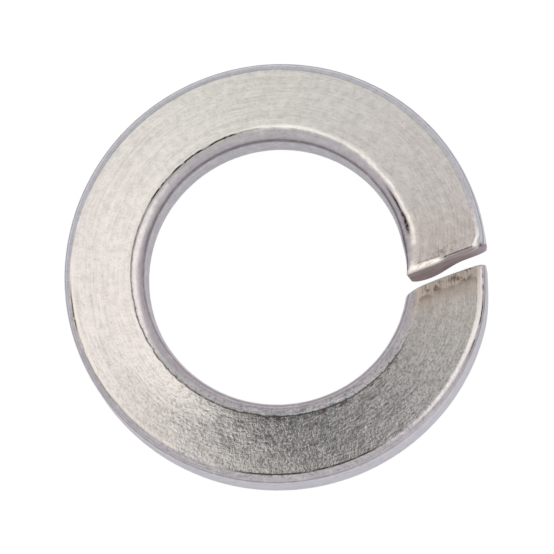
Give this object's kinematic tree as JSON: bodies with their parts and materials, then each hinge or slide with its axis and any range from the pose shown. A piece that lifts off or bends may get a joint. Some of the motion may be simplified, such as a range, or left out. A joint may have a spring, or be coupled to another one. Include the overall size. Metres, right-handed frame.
{
  "type": "spring lock washer",
  "caption": "Split spring lock washer: one left-handed turn of rounded rectangular stainless wire with a slanted split, so that its two ends stand apart in height.",
  "frame": {"origin": "on the axis of the bore, level with the lowest point of the lower end", "axes": "+Z along the bore towards the raised upper end, +X from the axis to the split"},
  "size_m": [0.0206, 0.0206, 0.0051],
  "materials": {
    "steel": "satin stainless spring steel, drawn along the coil, with tumbled edges"
  },
  "bodies": {
    "root": {"spring_washer": "steel"}
  },
  "joints": []
}
